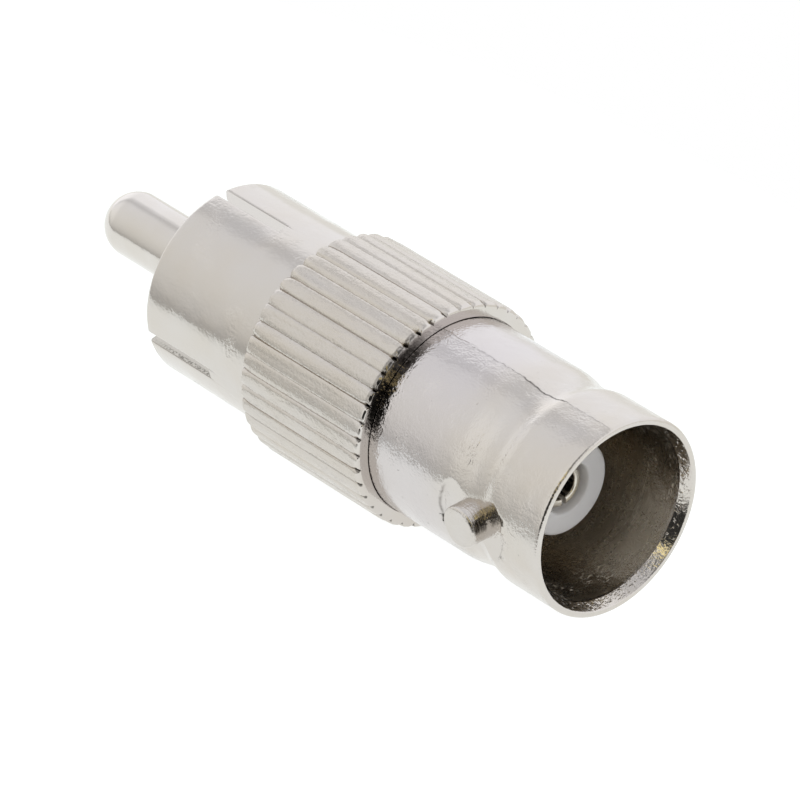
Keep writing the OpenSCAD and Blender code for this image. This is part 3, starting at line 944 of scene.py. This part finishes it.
def studio_world():
    """Soft light from everywhere, with a studio's seams as bands that run along X. Their angle is counted in
    degrees from the horizon at -Y over the top: dusk above the table's edge, a seam past the top and a
    softbox beyond it. Metal also shows the dark room behind the camera, a warm lamp in it and pale panels
    towards -X. The camera sees plain white."""
    world = bpy.data.worlds.new("studio")
    world.use_nodes = True
    tree = world.node_tree
    way = Wire(tree, tree.nodes.new("ShaderNodeTexCoord").outputs["Generated"])
    path = tree.nodes.new("ShaderNodeLightPath").outputs
    seen, mirrored = Wire(tree, path["Is Camera Ray"]), Wire(tree, path["Is Glossy Ray"])
    x, y, z = way.parts()
    over = way.math("ARCTAN2", z, 0 - y) * (180 / np.pi)

    dusk = over.ramp(-24, -18) * way.math("EXPONENT", (over + 13) / -22)
    seam, softbox = over.bell(105, 9), over.ramp(114, 126)
    ahead = over.ramp(-20, -1) * (1 - 0.2 * over.ramp(50, 66)) * over.ramp(110, 72)
    ahead = ahead * x.ramp(0.05, 0.38)
    beside = over.ramp(-8, 3) * over.ramp(62, 44) * x.ramp(0.0, 0.08)
    room = ahead.at_least(beside)
    lamp = over.bell(50, 6) * x.ramp(0.0, 0.08)
    panel = over.ramp(-15, 10) * over.ramp(90, 50) * x.ramp(-0.6, -0.45) * x.ramp(-0.05, -0.2)
    panel = panel + x.ramp(-0.7, -0.88)

    level = 1.0 + 0.22 * softbox - 0.22 * seam - 0.42 * dusk
    level = level * (1 - room * (0.6 + 0.36 * mirrored))
    level = level + (1.3 * lamp + 0.14 * panel) * mirrored
    low_light, high_light, lamp_light = (1.0, 1.0, 0.97), (0.985, 1.0, 1.035), (1.0, 0.85, 0.4)
    light = layered(low_light, (over.ramp(10, 110), high_light), (lamp * mirrored, lamp_light))
    level = level + seen * (1 - level)
    feed(tree.nodes["Background"], {"Strength": level, "Color": seen.blend(light, WHITE)})
    return world


def table_material(glow):
    """Pale table: white to the camera and in reflections, apart from the adapter's shadow, and plain paper
    white to other light. In reflections it dims towards its -Y edge."""
    material = bpy.data.materials.new("pale_table")
    material.use_nodes = True
    tree = material.node_tree
    tree.nodes.remove(tree.nodes["Principled BSDF"])
    path = tree.nodes.new("ShaderNodeLightPath").outputs
    mirrored = Wire(tree, path["Is Glossy Ray"])
    y = Wire(tree, tree.nodes.new("ShaderNodeTexCoord").outputs["Object"]).parts()[1]
    seen = mirrored.at_least(Wire(tree, path["Is Camera Ray"]))
    seen = seen.at_least(Wire(tree, path["Is Transmission Ray"]))
    paper = seen.node("ShaderNodeBsdfDiffuse", None, {"Color": (0.8, 0.8, 0.8, 1)})
    thin = seen.node("ShaderNodeBsdfDiffuse", None, {"Color": (0.27, 0.31, 0.3, 1)})
    fade = 1 - 0.35 * mirrored * (y / MM).ramp(-16, -29)
    light = seen.node("ShaderNodeEmission", None, {"Color": (glow * fade).blend(BLACK, WHITE)})
    bright = seen.node("ShaderNodeAddShader", None, {0: thin, 1: light})
    surface = seen.node("ShaderNodeMixShader", None, {0: seen, 1: paper, 2: bright})
    feed(tree.nodes["Material Output"], {"Surface": surface})
    return material


class ADAPTER_OT_studio(bpy.types.Operator):
    """Adds the pale table, the soft light and the camera at the photograph's angle"""

    bl_idname = "adapter.studio"
    bl_label = "Studio"

    def execute(self, context):
        scene, s = context.scene, context.scene.adapter_studio
        scene.view_settings.view_transform = "Standard"
        scene.world = studio_world()
        self.add_table(s)
        scene.camera = self.add_camera(scene, s)
        return {"FINISHED"}

    def add_table(self, s):
        """Adds the table: rings of a growing share of an oval, round a pole."""
        turn = circle(96)
        reach = np.array([[0.02], [0.2], [0.5], [1.0]])
        grid = np.stack(np.broadcast_arrays(
            s.floor_width * reach * np.cos(turn), s.floor_depth * reach * np.sin(turn), 0.0), -1)
        points = np.vstack([grid.reshape(-1, 3), [[0, 0, 0]]])
        rows, columns = grid.shape[:2]
        quads = lattice(rows, columns, False)[:, ::-1]
        middle = pole(np.arange(columns), rows * columns, True)[:, ::-1]
        table = make_piece("pale_table", points, quads, middle, table_material(s.floor_glow), None)

    def add_camera(self, scene, s):
        """Adds the camera and returns it."""
        camera = bpy.data.objects.new("camera", bpy.data.cameras.new("camera"))
        camera.data.sensor_width = SENSOR_WIDTH
        camera.data.lens = s.lens
        camera.data.clip_start, camera.data.clip_end = 0.01, 10
        right, down = Vector(CAMERA_RIGHT), Vector(CAMERA_DOWN)
        back = right.cross(-down).normalized()
        up = back.cross(right).normalized()
        turned_to = Matrix((right.normalized(), up, back)).transposed().to_4x4()
        place = Vector((MOUTH_X, 0, AXIS_Z)) + Vector(CAMERA_FROM_MOUTH) * MM
        camera.matrix_world = Matrix.Translation(place) @ turned_to
        scene.collection.objects.link(camera)
        return camera


class ADAPTER_PT_panel(bpy.types.Panel):
    """Lists the adapter's pieces and their settings"""

    bl_idname = "ADAPTER_PT_panel"
    bl_label = "Coaxial adapter"
    bl_space_type = "VIEW_3D"
    bl_region_type = "UI"
    bl_category = "Adapter"

    def draw(self, context):
        for operator in OPERATORS:
            self.layout.operator(operator.bl_idname)
        for name in SETTINGS:
            group = getattr(context.scene, name)
            for key in group.bl_rna.properties.keys():
                if key not in ("rna_type", "name"):
                    self.layout.prop(group, key)


OPERATORS = (ADAPTER_OT_studio, ADAPTER_OT_bayonet_barrel, ADAPTER_OT_knurled_body, ADAPTER_OT_insulators,
             ADAPTER_OT_centre_conductor)
SETTINGS = {
    "adapter_barrel": BarrelSettings,
    "adapter_body": BodySettings,
    "adapter_inserts": InsertSettings,
    "adapter_finish": FinishSettings,
    "adapter_studio": StudioSettings,
}


def register():
    for cls in (*SETTINGS.values(), *OPERATORS, ADAPTER_PT_panel):
        bpy.utils.register_class(cls)
    for name, cls in SETTINGS.items():
        setattr(bpy.types.Scene, name, PointerProperty(type=cls))


def unregister():
    for name in SETTINGS:
        delattr(bpy.types.Scene, name)
    for cls in (ADAPTER_PT_panel, *reversed(OPERATORS), *reversed(SETTINGS.values())):
        bpy.utils.unregister_class(cls)


def main():
    """Builds the studio and every piece."""
    register()
    bpy.ops.adapter.studio()
    bpy.ops.adapter.bayonet_barrel()
    bpy.ops.adapter.knurled_body()
    bpy.ops.adapter.insulators()
    bpy.ops.adapter.centre_conductor()


if __name__ == "__main__":
    main()
